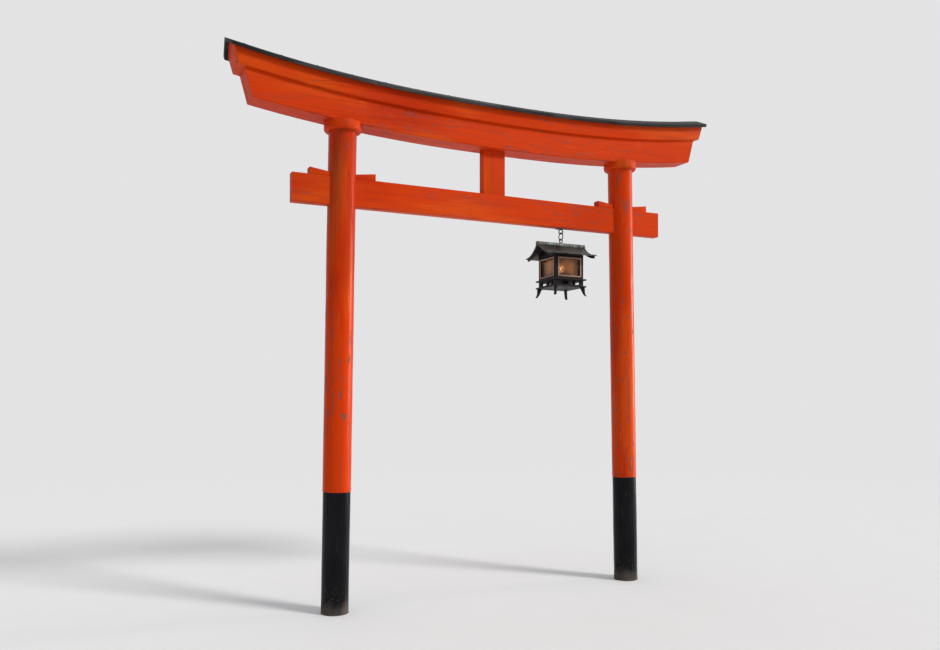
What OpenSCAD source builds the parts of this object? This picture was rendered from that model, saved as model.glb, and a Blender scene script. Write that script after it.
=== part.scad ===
// Shrine gate with two round posts, a wedged tie beam and a double lintel
// that sweeps up at its ends. A timber lantern hangs from the tie beam.
// The origin is the middle of the left post's foot, on the ground.
// +X runs along the gate to the right post and +Z is up.

/* [Gate] */
// Clear width between the posts at the ground
clear_width = 2050; // [1700:10:2600]
// Height of the tie beam's underside above the ground
beam_clearance = 2550; // [2300:10:2900]
// Inward lean of each post, in degrees
post_lean = 1; // [0:0.25:1.5]
// Width of the chamfer along the edges of the timbers
arris = 4; // [1:0.5:8]

/* [Posts] */
// Diameter of a post log
post_d = 180; // [150:2:220]
// Height of the black wrap around a post's foot
wrap_h = 760; // [400:10:1000]
// Thickness of the foot wrap
wrap_t = 6; // [3:1:12]
// How far the foot wrap lies inside the log's surface
wrap_inset = 2; // [1:0.5:4]
// Diameter of the tenon on a post's top
post_tenon_d = 90; // [60:2:110]
// Length of the tenon above the cap ring
post_tenon_h = 60; // [30:5:90]

/* [Tie beam] */
// Depth of the tie beam, up and down
beam_h = 180; // [140:5:220]
// Thickness of the tie beam
beam_t = 66; // [50:2:84]
// Length of the tie beam outside each post
beam_end = 230; // [180:5:320]

/* [Wedges] */
// Height of the slot that is left over the tie beam for the wedges
wedge_gap = 28; // [20:1:36]
// Length of a wedge outside the post
wedge_out = 125; // [90:5:160]
// Height of a wedge at its thick end
wedge_h = 44; // [40:1:60]
// Distance from the post's middle to a wedge's thin end
wedge_tip = 12; // [5:1:30]

/* [Centre strut] */
// Height of the strut between the tie beam and the lintel
strut_h = 300; // [240:5:380]
// Width of the strut
strut_w = 170; // [120:5:220]
// Thickness of the strut
strut_t = 56; // [46:2:58]
// Width of the strut's tenons
strut_tenon_w = 80; // [50:5:100]
// Thickness of the strut's tenons
strut_tenon_t = 28; // [20:2:36]
// Length of each of the strut's tenons
strut_tenon_h = 60; // [30:5:80]

/* [Cap rings] */
// How far the ring on a post's top stands out over the post
cap_out = 28; // [16:1:44]
// Height of the ring
cap_h = 62; // [40:2:90]
// Radius of the round edge under the ring
cap_edge = 18; // [6:1:26]

/* [Lintels] */
// Length of the upper lintel beyond each post's middle, along its underside
lintel_end = 660; // [500:10:800]
// How far the lintels rise at their ends
lintel_rise = 115; // [60:5:160]
// How late the rise comes, where 2 is an even curve
lintel_bend = 2.4; // [2:0.1:3]
// Slope of the cut ends, as length over height
end_slope = 0.28; // [0.1:0.02:0.4]
// Depth of the lower lintel, up and down
lower_h = 165; // [120:5:200]
// Thickness of the lower lintel
lower_t = 165; // [130:5:200]
// How far the lower lintel's ends lie inside the upper one's
lower_setback = 36; // [20:2:60]
// How far the upper lintel's underside stands out over the lower lintel
upper_out = 20; // [10:1:40]
// Height of the upper lintel's sides
upper_side_h = 96; // [60:2:130]
// Height of the upper lintel's ridge over its sides
upper_pitch_h = 50; // [30:2:80]
// How far the upper lintel's sides lean out towards their tops
upper_flare = 8; // [4:1:16]
// Thickness of the black boards on the upper lintel
board_t = 22; // [12:1:36]
// How far the black boards stand out over the upper lintel's sides
board_eave = 24; // [10:2:40]
// How far the black boards stand out over the upper lintel's ends
board_end = 20; // [10:2:40]
// Number of lengths in which each row of boards is laid
board_lengths = 4; // [2:1:6]
// Gap between two lengths of board
board_gap = 1.6; // [1:0.2:4]

/* [Lantern hanger] */
// Distance from the lantern's roof to the inner side of the right post
lantern_gap = 230; // [200:10:400]
// Thickness of the eye's wire
eye_wire = 8; // [6:0.5:10]
// Radius of the eye, to the middle of its wire
eye_r = 16; // [15:0.5:20]
// Side of the eye's plate
eye_plate = 56; // [44:2:80]
// Thickness of the eye's plate
eye_plate_t = 4; // [3:0.5:6]
// Diameter of the eye's shank in the tie beam
shank_d = 10; // [8:0.5:14]
// Length of the eye's shank in the tie beam
shank_h = 70; // [40:5:100]
// Thickness of the hanging ring's wire
ring_wire = 7; // [5:0.5:8]
// Radius of the hanging ring, to the middle of its wire
ring_r = 26; // [24:0.5:34]
// Thickness of the wire of the loop on the lantern
loop_wire = 7; // [5:0.5:8]
// Radius of that loop, to the middle of its wire
loop_r = 13; // [12:0.5:18]

/* [Lantern roof] */
// How far the roof stands out over the body at each gable
verge_out = 85; // [60:5:110]
// How far the roof stands out over the body at each eave
eave_out = 75; // [60:5:100]
// Height from the eaves to the ridge
roof_h = 84; // [60:2:110]
// Thickness of the roof
roof_t = 7; // [4:0.5:10]
// How much shorter the roof is at each end of its eaves
roof_rake = 22; // [0:2:40]
// How fast the roof flattens towards its eaves, where 1 is a straight slope
roof_hollow = 1.9; // [1.2:0.1:2.4]
// Height of the ridge bar over the roof
ridge_bar_h = 14; // [8:1:20]
// Width of the ridge bar
ridge_bar_w = 26; // [18:2:34]
// Depth of a gable board under the roof
gable_board_h = 17; // [10:1:24]
// Thickness of a gable board
gable_board_t = 9; // [6:1:14]

/* [Lantern body] */
// Side of the lantern's body
body_w = 230; // [200:5:260]
// Height of the lantern's body
body_h = 160; // [130:5:200]
// Thickness of the walls of the body
body_t = 14; // [10:1:16]
// Width of the body's corners beside the windows
corner_w = 29; // [26:1:36]
// Height of the body's rails over and under the windows
rail_h = 21; // [16:1:30]
// Width of the beading round a window
bead_w = 9; // [6:1:12]
// Thickness of the beading
bead_t = 4; // [2:0.5:6]
// How far a pane reaches past its window
pane_lap = 7; // [4:1:9]
// Thickness of a pane
pane_t = 3; // [2:0.5:5]
// Height of the lamp's socket
socket_h = 34; // [24:2:44]
// Diameter of the lamp's socket
socket_d = 38; // [30:1:46]
// Diameter of the lamp's bulb
bulb_d = 60; // [48:2:76]

/* [Lantern base] */
// Height of the base under the body
base_h = 58; // [50:2:80]
// Thickness of the ledges over and under the base
ledge_t = 10; // [6:1:12]
// How far the ledges stand out
ledge_out = 16; // [8:1:24]
// Height of the openings in the base
slot_h = 24; // [14:1:26]
// Width of the bar between two openings
slot_bar = 16; // [10:1:26]
// Height of a foot
foot_h = 62; // [40:2:80]
// Thickness of a foot
foot_t = 18; // [12:1:24]
// Width of a foot at its top
foot_top_w = 34; // [24:1:40]
// Width of a foot at its toe
foot_toe_w = 12; // [8:1:18]
// How far the feet spread out
foot_out = 30; // [10:1:36]
// How far a foot's knee stands out
foot_knee = 5; // [0:1:8]

/* [Hidden] */
$fn = 96;

vermilion = [0.80, 0.22, 0.05];
black_paint = [0.06, 0.06, 0.07];
dark_timber = [0.14, 0.10, 0.09];
light_timber = [0.62, 0.48, 0.40];
aged_copper = [0.16, 0.17, 0.15];
iron = [0.30, 0.28, 0.27];
amber_pane = [0.85, 0.55, 0.30];
warm_glass = [1.0, 0.75, 0.40];

// Gap that is left round tenons, shanks and pins
fit = 0.3;
// Length by which a cutting shape runs past what it cuts
over = 1;
post_r = post_d / 2;
half_pitch = clear_width / 2 + post_r;
beam_top = beam_clearance + beam_h;
slot_top = beam_top + wedge_gap;
lintel_z = beam_top + strut_h;

// Distance of a post's axis from the gate's middle at height z, and half its width there
function post_x(z) = half_pitch - z * tan(post_lean);
post_half = post_r / cos(post_lean);

// The lintels bend in short straight lengths
cap_x = post_x(lintel_z);
lintel_half = cap_x + lintel_end;
lintel_steps = 12;
lintel_step = lintel_half / lintel_steps;

// Value at x of a curve that is drawn as straight chords of the given step
function on_chords(curve, step, steps, x) =
    let (a = abs(x) / step, i = min(floor(a), steps - 1), t = a - i)
    curve(i * step) * (1 - t) + curve((i + 1) * step) * t;

sweep_curve = function (x) lintel_rise * pow(abs(x) / lintel_half, lintel_bend);
function rise(x) = on_chords(sweep_curve, lintel_step, lintel_steps, x);

// The cap rings stop where the lower lintel's underside is highest over them
cap_r = post_r + cap_out;
cap_top = lintel_z + rise(cap_x + cap_r);
post_top = cap_top - cap_h;

// Everything is drawn about the gate's middle and then moved to the origin
module in_place() {
    translate([half_pitch, 0, 0]) children();
}

// side is -1 for the left post and 1 for the right one
module on_post_axis(side) {
    translate([side * half_pitch, 0, 0]) rotate([0, -side * post_lean, 0]) children();
}

module post(side) {
    wrap_seat_r = post_r - wrap_inset - wrap_t - fit;
    reach = post_top * 1.1;
    color(vermilion) in_place() difference() {
        union() {
            intersection() {
                on_post_axis(side) union() {
                    translate([0, 0, wrap_h]) cylinder(h = arris, r1 = post_r - arris, r2 = post_r);
                    translate([0, 0, wrap_h + arris]) cylinder(h = reach, d = post_d);
                    translate([0, 0, -post_r]) cylinder(h = wrap_h + post_r, r = wrap_seat_r);
                }
                translate([side * half_pitch - post_d * 2, -post_d, 0])
                    cube([post_d * 4, post_d * 2, post_top]);
            }
            translate([side * cap_x, 0, post_top - over])
                cylinder(h = cap_h + post_tenon_h + over, d = post_tenon_d);
        }
        translate([side * post_x(beam_top) - post_d, -beam_t / 2, beam_clearance])
            cube([post_d * 2, beam_t, beam_h + wedge_gap]);
    }
}

module foot_wrap(side) {
    color(black_paint) in_place() intersection() {
        on_post_axis(side) difference() {
            translate([0, 0, -post_r]) cylinder(h = wrap_h + post_r, r = post_r - wrap_inset);
            translate([0, 0, -post_d])
                cylinder(h = wrap_h + post_d * 2, r = post_r - wrap_inset - wrap_t);
        }
        translate([side * half_pitch - post_d, -post_d, 0])
            cube([post_d * 2, post_d * 2, wrap_h * 2]);
    }
}

// Outline of a timber w wide and h high with chamfered edges, standing on its lower side
function eased(w, h) = [
    [-w / 2 + arris, 0], [w / 2 - arris, 0], [w / 2, arris], [w / 2, h - arris],
    [w / 2 - arris, h], [-w / 2 + arris, h], [-w / 2, h - arris], [-w / 2, arris]
];

module tie_beam() {
    half = post_x(beam_clearance) + post_half + beam_end;
    color(vermilion) in_place() difference() {
        translate([0, 0, beam_clearance]) rotate([90, 0, 90])
            linear_extrude(height = half * 2, center = true) polygon(eased(beam_t, beam_h));
        strut_mortise(beam_top - strut_tenon_h - fit);
        translate([lantern_x, 0, beam_clearance - over])
            cylinder(h = shank_h + over + fit, d = shank_d + fit * 2);
    }
}

// side picks the post, and out is 1 outside the gate and -1 inside it
module wedge(side, out) {
    slope = (wedge_h - wedge_gap) / wedge_out;
    tip_h = wedge_gap - (post_half - wedge_tip) * slope;
    color(vermilion) in_place()
        translate([side * post_x(slot_top), 0, beam_top]) facing(side * out)
        rotate([90, 0, 0]) linear_extrude(height = beam_t - arris * 2, center = true)
        polygon([
            [wedge_tip, 0], [post_half + wedge_out, 0],
            [post_half + wedge_out, wedge_h - fit], [wedge_tip, tip_h - fit]
        ]);
}

// Turns what follows to the other side when way is -1
module facing(way) {
    if (way < 0) mirror([1, 0, 0]) children();
    else children();
}

// Pocket for a tenon of the strut, from low upwards
module strut_mortise(low) {
    translate([-strut_tenon_w / 2 - fit, -strut_tenon_t / 2 - fit, low])
        cube([strut_tenon_w + fit * 2, strut_tenon_t + fit * 2, strut_tenon_h + fit + over]);
}

module centre_strut() {
    color(vermilion) in_place() union() {
        translate([0, -strut_t / 2, beam_top]) linear_extrude(height = strut_h)
            polygon(eased(strut_w, strut_t));
        translate([-strut_tenon_w / 2, -strut_tenon_t / 2, beam_top - strut_tenon_h])
            cube([strut_tenon_w, strut_tenon_t, strut_h + strut_tenon_h * 2]);
    }
}

module cap_ring(side) {
    hole_r = post_tenon_d / 2 + fit;
    color(vermilion) in_place() translate([side * cap_x, 0, post_top]) rotate_extrude() union() {
        translate([hole_r, 0]) square([cap_r - cap_edge - hole_r, cap_h]);
        translate([hole_r, cap_edge]) square([cap_r - hole_r, cap_h - cap_edge]);
        translate([cap_r - cap_edge, cap_edge]) circle(r = cap_edge);
    }
}

// A bar that follows the lintels' curve. section lists its outline as [y, z],
// and half is half its length where z is 0.
module curved_bar(section, half) {
    lows = [for (p = section) p[1]];
    last = half + min(lows) * end_slope - over;
    inner = [for (i = [1 - lintel_steps : lintel_steps - 1])
        if (abs(i * lintel_step) < last) i * lintel_step];
    rows = concat(
        [bar_row(section, -half, -1)],
        [for (x = inner) bar_row(section, x, 0)],
        [bar_row(section, half, 1)]
    );
    n = len(section);
    polyhedron(
        points = [for (row = rows) each row],
        faces = concat(
            [[for (j = [0 : n - 1]) j]],
            [for (i = [0 : len(rows) - 2], j = [0 : n - 1])
                [i * n + j, (i + 1) * n + j, (i + 1) * n + (j + 1) % n, i * n + (j + 1) % n]],
            [[for (j = [n - 1 : -1 : 0]) (len(rows) - 1) * n + j]]
        )
    );
}

// One ring of points. way is 1 or -1 at a cut end, and 0 between the ends.
function bar_row(section, x0, way) = [
    for (p = section) let (x = x0 + way * p[1] * end_slope) [x, p[0], p[1] + rise(x)]
];

module lower_lintel() {
    half_t = lower_t / 2;
    section = [
        [-half_t + arris, -lower_h], [-half_t, -lower_h + arris], [-half_t, 0],
        [half_t, 0], [half_t, -lower_h + arris], [half_t - arris, -lower_h]
    ];
    color(vermilion) in_place() difference() {
        translate([0, 0, lintel_z + lower_h]) curved_bar(section, lintel_half - lower_setback);
        strut_mortise(lintel_z - over);
        for (side = [-1, 1]) translate([side * cap_x, 0, 0]) {
            translate([0, 0, cap_top - cap_h])
                cylinder(h = cap_h, r = cap_r + fit);
            translate([0, 0, cap_top - over])
                cylinder(h = post_tenon_h + over + fit, d = post_tenon_d + fit * 2);
        }
    }
}

upper_z = lintel_z + lower_h;
upper_low_half = lower_t / 2 + upper_out;
upper_top_half = upper_low_half + upper_flare;
board_slope = upper_pitch_h / upper_top_half;

module upper_lintel() {
    lean = upper_flare / upper_side_h * arris;
    section = [
        [-upper_low_half + arris, 0], [-upper_low_half - lean, arris],
        [-upper_top_half, upper_side_h], [0, upper_side_h + upper_pitch_h],
        [upper_top_half, upper_side_h], [upper_low_half + lean, arris], [upper_low_half - arris, 0]
    ];
    color(vermilion) in_place() translate([0, 0, upper_z]) curved_bar(section, lintel_half);
}

// side is -1 for the front boards and 1 for the back ones
module lintel_board(side) {
    half = lintel_half + board_end;
    ridge = upper_side_h + upper_pitch_h + fit;
    eave = upper_side_h + fit - board_eave * board_slope;
    out = upper_top_half + board_eave;
    front = [[-out, eave], [-out, eave + board_t], [0, ridge + board_t], [0, ridge]];
    back = [[0, ridge], [0, ridge + board_t], [out, eave + board_t], [out, eave]];
    color(black_paint) in_place() translate([0, 0, upper_z]) difference() {
        curved_bar(side < 0 ? front : back, half);
        for (k = [1 : board_lengths - 1])
            translate([(k * 2 / board_lengths - 1) * half - board_gap / 2, -out - over, 0])
            cube([board_gap, (out + over) * 2, ridge + board_t + lintel_rise + over]);
    }
}

// The lantern hangs beside the right post
roof_l = body_w + verge_out * 2;
roof_w = body_w + eave_out * 2;
lantern_x = post_x(beam_clearance) - post_half - lantern_gap - roof_l / 2;

// Heights on the lantern's hanger, each the middle of a wire
eye_z = beam_clearance - eye_plate_t - eye_r - eye_wire / 2 + over;
eye_low = eye_z - eye_r;
ring_z = eye_low + eye_wire / 2 + ring_wire / 2 + fit - ring_r;
ring_low = ring_z - ring_r;
loop_z = ring_low + ring_wire / 2 + loop_wire / 2 + fit - loop_r;
ridge_top = loop_z - loop_r - loop_wire / 2 + over;
roof_top = ridge_top - ridge_bar_h;
roof_low = roof_top - roof_h;
body_top = roof_low - roof_t;
body_low = body_top - body_h;
base_low = body_low - base_h;
window_w = body_w - corner_w * 2;
window_h = body_h - rail_h * 2;

module on_lantern(z) {
    in_place() translate([lantern_x, 0, z]) children();
}

module wire_ring(r, wire) {
    rotate_extrude() translate([r, 0]) circle(d = wire, $fn = 32);
}

module lantern_eye() {
    color(iron) on_lantern(eye_z) union() {
        rotate([90, 0, 0]) wire_ring(eye_r, eye_wire);
        translate([-eye_plate / 2, -eye_plate / 2, beam_clearance - eye_plate_t - eye_z])
            cube([eye_plate, eye_plate, eye_plate_t]);
        translate([0, 0, beam_clearance - over - eye_z])
            cylinder(h = shank_h + over, d = shank_d);
    }
}

module hanging_ring() {
    color(iron) on_lantern(ring_z) rotate([0, 90, 0]) wire_ring(ring_r, ring_wire);
}

module lantern_loop() {
    color(iron) on_lantern(loop_z) difference() {
        rotate([90, 0, 0]) wire_ring(loop_r, loop_wire);
        translate([-loop_r * 2, -loop_r, ridge_top - loop_z - loop_r])
            cube([loop_r * 4, loop_r * 2, loop_r]);
    }
}

// The roof falls steeply from its ridge and flattens towards its eaves
roof_steps = 10;
roof_step = roof_w / 2 / roof_steps;
roof_fall = function (y) -roof_h * (1 - pow(1 - min(1, y / (roof_w / 2)), roof_hollow));
function roof_at(y) = on_chords(roof_fall, roof_step, roof_steps, y);

// Points [y, z] under the roof, from -half to half, at its bends between them
function under_roof(half, drop) = let (
    bends = [for (i = [-roof_steps : roof_steps]) if (abs(i * roof_step) < half - over) i * roof_step]
) [for (y = concat([-half], bends, [half])) [y, roof_at(y) - roof_t - fit - drop]];

module lantern_roof() {
    ys = [for (i = [-roof_steps : roof_steps]) i * roof_step];
    upper = [for (y = ys) [y, roof_at(y)]];
    lower = [for (i = [len(ys) - 1 : -1 : 0]) [ys[i], roof_at(ys[i]) - roof_t]];
    color(aged_copper) on_lantern(roof_top) intersection() {
        rotate([90, 0, 90]) linear_extrude(height = roof_l, center = true)
            polygon(concat(upper, lower));
        rotate([90, 0, 0]) linear_extrude(height = roof_w * 2, center = true) polygon([
            [-roof_l / 2 + roof_rake, -roof_h - roof_t], [roof_l / 2 - roof_rake, -roof_h - roof_t],
            [roof_l / 2, 0], [-roof_l / 2, 0]
        ]);
    }
}

module lantern_ridge() {
    side = roof_at(ridge_bar_w / 2);
    color(aged_copper) on_lantern(roof_top)
        rotate([90, 0, 90]) linear_extrude(height = roof_l, center = true) polygon([
            [-ridge_bar_w / 2, side], [-ridge_bar_w / 2, 0], [-ridge_bar_w / 4, ridge_bar_h],
            [ridge_bar_w / 4, ridge_bar_h], [ridge_bar_w / 2, 0], [ridge_bar_w / 2, side], [0, 0]
        ]);
}

// Closed block between the body and the roof
module lantern_gable() {
    half = body_w / 2;
    color(dark_timber) on_lantern(roof_top)
        rotate([90, 0, 90]) linear_extrude(height = body_w, center = true)
        polygon(concat([[half, body_top - roof_top], [-half, body_top - roof_top]], under_roof(half, 0)));
}

// Two boards under the roof's ends
module lantern_gable_boards() {
    half = roof_w / 2 - roof_step;
    upper = under_roof(half, 0);
    lower = under_roof(half, gable_board_h);
    color(dark_timber) on_lantern(roof_top) for (side = [-1, 1])
        translate([side * (roof_l / 2 - roof_rake - gable_board_t), 0, 0])
        rotate([90, 0, 90]) linear_extrude(height = gable_board_t, center = true)
        polygon(concat(upper, [for (i = [len(lower) - 1 : -1 : 0]) lower[i]]));
}

module lantern_body() {
    inner = body_w - body_t * 2;
    color(dark_timber) on_lantern(body_low) difference() {
        translate([-body_w / 2, -body_w / 2, 0]) cube([body_w, body_w, body_h]);
        translate([-inner / 2, -inner / 2, -over]) cube([inner, inner, body_h + over * 2]);
        for (turn = [0, 90]) rotate([0, 0, turn])
            translate([-window_w / 2, -body_w, rail_h]) cube([window_w, body_w * 2, window_h]);
    }
}

module window_beading() {
    outer_w = window_w + bead_w * 2;
    outer_h = window_h + bead_w * 2;
    color(light_timber) on_lantern(body_low + body_h / 2) for (turn = [0 : 90 : 270])
        rotate([0, 0, turn]) translate([0, -body_w / 2, 0]) rotate([90, 0, 0])
        linear_extrude(height = bead_t) difference() {
            square([outer_w, outer_h], center = true);
            square([window_w, window_h], center = true);
        }
}

// turn is the pane's side, counted in quarter turns from the front
module pane(turn) {
    color(amber_pane) on_lantern(body_low) rotate([0, 0, turn * 90])
        translate([-window_w / 2 - pane_lap, -body_w / 2 + body_t, rail_h - pane_lap])
        cube([window_w + pane_lap * 2, pane_t, window_h + pane_lap * 2]);
}

module lantern_base() {
    wide = body_w + ledge_out * 2;
    inner = body_w - body_t * 2;
    slot_z = (base_h - slot_h) / 2;
    slot_l = (window_w - slot_bar) / 2;
    color(dark_timber) on_lantern(base_low) union() {
        difference() {
            translate([-body_w / 2, -body_w / 2, 0]) cube([body_w, body_w, base_h]);
            for (turn = [0, 90], side = [-1, 1]) rotate([0, 0, turn])
                translate([side * (slot_l + slot_bar) / 2, 0, base_h / 2]) rotate([90, 0, 0])
                linear_extrude(height = body_w * 2, center = true) round_slot(slot_l, slot_h);
            translate([-inner / 2, -inner / 2, slot_z]) cube([inner, inner, slot_h]);
        }
        for (z = [0, base_h - ledge_t])
            translate([0, 0, z]) difference() {
                translate([-wide / 2, -wide / 2, 0]) cube([wide, wide, ledge_t]);
                translate([-inner / 2, -inner / 2, -over]) cube([inner, inner, ledge_t + over * 2]);
            }
    }
}

// Opening with round ends, l long and h high
module round_slot(l, h) {
    square([l - h, h], center = true);
    for (side = [-1, 1]) translate([side * (l - h) / 2, 0]) circle(d = h);
}

// Middle line and half width of a foot at share t of the way down it. The line goes out
// at the knee, in at the ankle and out again at the toe.
foot_steps = 10;
foot_turn = 220;
foot_curl = 3;
foot_taper = 1.4;
function foot_line(t) = foot_out * pow(t, foot_curl) + foot_knee * sin(t * foot_turn) - foot_top_w / 2;
function foot_half(t) = foot_toe_w / 2 + (foot_top_w - foot_toe_w) / 2 * pow(1 - t, foot_taper);

module lantern_feet() {
    corner = body_w / sqrt(2) + foot_t / 2;
    shares = [for (i = [0 : foot_steps]) i / foot_steps];
    outer = [for (t = shares) [corner + foot_line(t) + foot_half(t), -foot_h * t]];
    inner = [for (t = shares) [corner + foot_line(t) - foot_half(t), -foot_h * t]];
    color(dark_timber) on_lantern(base_low) for (turn = [45 : 90 : 315]) rotate([0, 0, turn])
        rotate([90, 0, 0]) linear_extrude(height = foot_t, center = true)
        polygon(concat(outer, [for (i = [len(inner) - 1 : -1 : 0]) inner[i]]));
}

module lamp_socket() {
    color(black_paint) on_lantern(body_top - socket_h) cylinder(h = socket_h, d = socket_d);
}

// A round bulb with a neck that narrows to fit in the socket's mouth. The shares are
// the bulb's depth under the socket and the neck's two widths.
bulb_drop = 0.7;
bulb_shoulder = 0.94;
bulb_neck = 0.75;
module lamp_bulb() {
    drop = bulb_d * bulb_drop;
    color(warm_glass) on_lantern(body_top - socket_h - drop) union() {
        sphere(d = bulb_d);
        cylinder(h = drop, d1 = bulb_d * bulb_shoulder, d2 = socket_d * bulb_neck);
    }
}

post(-1);  // left_post
post(1);  // right_post
foot_wrap(-1);  // left_foot_wrap
foot_wrap(1);  // right_foot_wrap
tie_beam();
wedge(-1, 1);  // left_outer_wedge
wedge(-1, -1);  // left_inner_wedge
wedge(1, -1);  // right_inner_wedge
wedge(1, 1);  // right_outer_wedge
centre_strut();
cap_ring(-1);  // left_cap_ring
cap_ring(1);  // right_cap_ring
lower_lintel();
upper_lintel();
lintel_board(-1);  // front_lintel_board
lintel_board(1);  // back_lintel_board
lantern_eye();
hanging_ring();
lantern_loop();
lantern_ridge();
lantern_roof();
lantern_gable_boards();
lantern_gable();
lantern_body();
window_beading();
pane(0);  // front_pane
pane(1);  // right_pane
pane(2);  // back_pane
pane(3);  // left_pane
lantern_base();
lantern_feet();
lamp_socket();
lamp_bulb();
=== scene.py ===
import math
import random
from contextlib import contextmanager

import bmesh
import bpy
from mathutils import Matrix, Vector


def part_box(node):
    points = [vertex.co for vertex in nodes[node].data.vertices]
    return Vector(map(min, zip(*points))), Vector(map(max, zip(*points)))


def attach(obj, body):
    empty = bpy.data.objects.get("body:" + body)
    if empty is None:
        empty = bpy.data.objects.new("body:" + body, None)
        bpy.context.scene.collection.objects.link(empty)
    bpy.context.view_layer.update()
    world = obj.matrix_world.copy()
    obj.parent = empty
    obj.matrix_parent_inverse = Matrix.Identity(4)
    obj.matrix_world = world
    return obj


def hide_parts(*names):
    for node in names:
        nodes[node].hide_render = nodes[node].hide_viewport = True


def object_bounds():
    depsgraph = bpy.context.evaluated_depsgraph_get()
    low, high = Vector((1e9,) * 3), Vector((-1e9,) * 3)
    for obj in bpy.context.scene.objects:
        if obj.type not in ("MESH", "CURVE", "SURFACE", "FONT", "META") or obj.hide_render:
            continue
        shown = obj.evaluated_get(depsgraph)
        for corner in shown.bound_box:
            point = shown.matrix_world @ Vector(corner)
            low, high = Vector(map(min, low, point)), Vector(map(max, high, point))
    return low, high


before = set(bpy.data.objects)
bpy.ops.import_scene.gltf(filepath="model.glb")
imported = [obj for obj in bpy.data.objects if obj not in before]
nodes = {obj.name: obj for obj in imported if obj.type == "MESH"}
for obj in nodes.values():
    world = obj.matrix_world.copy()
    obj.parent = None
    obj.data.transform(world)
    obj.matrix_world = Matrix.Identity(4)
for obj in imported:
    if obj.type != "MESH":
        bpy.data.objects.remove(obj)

MM = 0.001
solid_low, solid_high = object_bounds()

# Places read from the solids, in metres
beam_low, beam_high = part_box("tie_beam")
ring_low, ring_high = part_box("left_cap_ring")
body_low, body_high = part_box("lantern_body")
roof_low, roof_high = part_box("lantern_roof")
bulb_low, bulb_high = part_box("lamp_bulb")
middle_x = (solid_low.x + solid_high.x) / 2
body_middle = (body_low + body_high) / 2
body_half = (body_high.x - body_low.x) / 2
bulb_middle = (bulb_low + bulb_high) / 2

# The left post's foot is at x = 0, so each foot is this far from the middle
half_pitch = middle_x

# Sizes that the solids have and that the new pieces repeat
LEAN = math.radians(1)
LOG_R = 90 * MM
WRAP_R = 88 * MM
WRAP_T = 6 * MM
WRAP_H = 760 * MM
TENON_R = 45 * MM
TENON_H = 60 * MM
WEDGE_GAP = 28 * MM
CORNER_W = 29 * MM
RAIL_H = 21 * MM
WALL_T = 14 * MM
BEAD_W = 9 * MM
BEAD_T = 4 * MM
EYE_PLATE_T = 4 * MM
BOARD_LENGTHS = 4

# The lamp's glowing core: its radius, and its middle's height over the bulb's lowest point
CORE_R = 8 * MM
CORE_HEIGHT = 30 * MM


# Camera: the gate stands turned, its left post nearer, seen from eye height
VIEW_AZIMUTH = math.radians(-26)
EYE_HEIGHT = 1.38
VIEW_DISTANCE = 5.75
AIM_SHIFT = -0.17
SENSOR_WIDTH = 36
LENS_SHARE = 0.905
SHIFT_UP = 0.072
FAR_LIMIT = 300


def add_camera():
    data = bpy.data.cameras.new("camera")
    data.sensor_width = SENSOR_WIDTH
    data.lens = SENSOR_WIDTH * LENS_SHARE
    data.shift_y = SHIFT_UP
    data.clip_end = FAR_LIMIT
    camera = bpy.data.objects.new("camera", data)
    bpy.context.scene.collection.objects.link(camera)
    aim_x = middle_x + AIM_SHIFT
    camera.location = (
        aim_x + VIEW_DISTANCE * math.sin(VIEW_AZIMUTH),
        -VIEW_DISTANCE * math.cos(VIEW_AZIMUTH),
        EYE_HEIGHT,
    )
    camera.rotation_euler = (math.pi / 2, 0, VIEW_AZIMUTH)
    bpy.context.scene.camera = camera


add_camera()


# Shader maths
class Value:
    """A socket of a finish. Arithmetic on it adds Math nodes."""

    def __init__(self, finish, socket):
        self.finish = finish
        self.socket = socket

    def math(self, operation, *inputs):
        return self.finish.node("ShaderNodeMath", {"operation": operation}, dict(enumerate(inputs)))

    def __add__(self, other):
        return self.math("ADD", self, other)

    def __sub__(self, other):
        return self.math("SUBTRACT", self, other)

    def __rsub__(self, other):
        return self.math("SUBTRACT", other, self)

    def __mul__(self, other):
        return self.math("MULTIPLY", self, other)

    def __abs__(self):
        return self.math("ABSOLUTE", self)

    def larger(self, other):
        return self.math("MAXIMUM", self, other)

    __radd__ = __add__
    __rmul__ = __mul__


# Sockets of a Mix node that blends colours: its two colours, and the blend
FIRST_COLOUR = 6
SECOND_COLOUR = 7
BLEND = 2


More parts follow.
